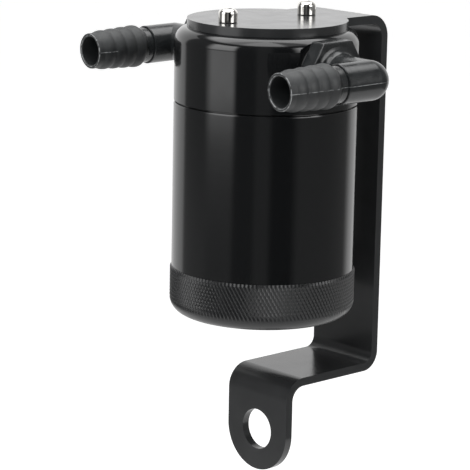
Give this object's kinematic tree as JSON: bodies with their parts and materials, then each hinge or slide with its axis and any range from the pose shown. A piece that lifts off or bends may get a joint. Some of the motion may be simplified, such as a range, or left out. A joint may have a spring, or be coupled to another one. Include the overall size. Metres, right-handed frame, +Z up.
{
  "type": "oil catch can",
  "caption": "Round black metal oil catch can with a knurled screw-off cap below, barbed hose elbows in its head and a folded hanging bracket.",
  "frame": {"origin": "centre of the fixing hole on the rear face of the bracket's tab", "axes": "+Z up along the can's axis, +X towards the bracket's strap, and the hose ends point to -X"},
  "size_m": [0.1038, 0.147, 0.1975],
  "materials": {
    "bracket_coat": "gloss black powder coat",
    "polished_steel": "polished",
    "black_anodised": "bright black anodised",
    "knurled_anodised": "knurled and black anodised",
    "black_nylon": "moulded satin",
    "seal_rubber": "moulded",
    "bare_aluminium": "machined",
    "sintered_bronze": "sintered",
    "plain_steel": "zinc plated",
    "wire_mesh": "packed knitted wire"
  },
  "bodies": {
    "can": {"bracket": "bracket_coat", "bracket_screws": "polished_steel", "head": "black_anodised", "tube": "black_anodised", "inlet_elbow": "black_nylon", "outlet_elbow": "black_nylon", "inlet_oring": "seal_rubber", "outlet_oring": "seal_rubber", "head_oring": "seal_rubber", "drop_tube": "bare_aluminium", "outlet_filter": "sintered_bronze", "centre_rod": "plain_steel", "rod_spacer": "bare_aluminium", "upper_baffle": "bare_aluminium", "mesh_pack": "wire_mesh", "lower_baffle": "bare_aluminium", "rod_washer": "plain_steel", "rod_nut": "plain_steel"},
    "cap_seal": {"cap_oring": "seal_rubber"},
    "cap": {"bottom_cap": "knurled_anodised"}
  },
  "joints": [
    {"name": "cap_drop", "type": "slide", "parent": "can", "child": "cap_seal", "axis": [0, 0, -1], "range_m": [0, 0.008]},
    {"name": "cap_turn", "type": "hinge", "parent": "cap_seal", "child": "cap", "pos_m": [-0.0024, 0, 0.0614], "axis": [0, 0, -1], "range_deg": [0, 1440]}
  ],
  "couplings": [
    {"joint": "cap_drop", "follows": "cap_turn", "m_per_rad": 0.0003183}
  ]
}
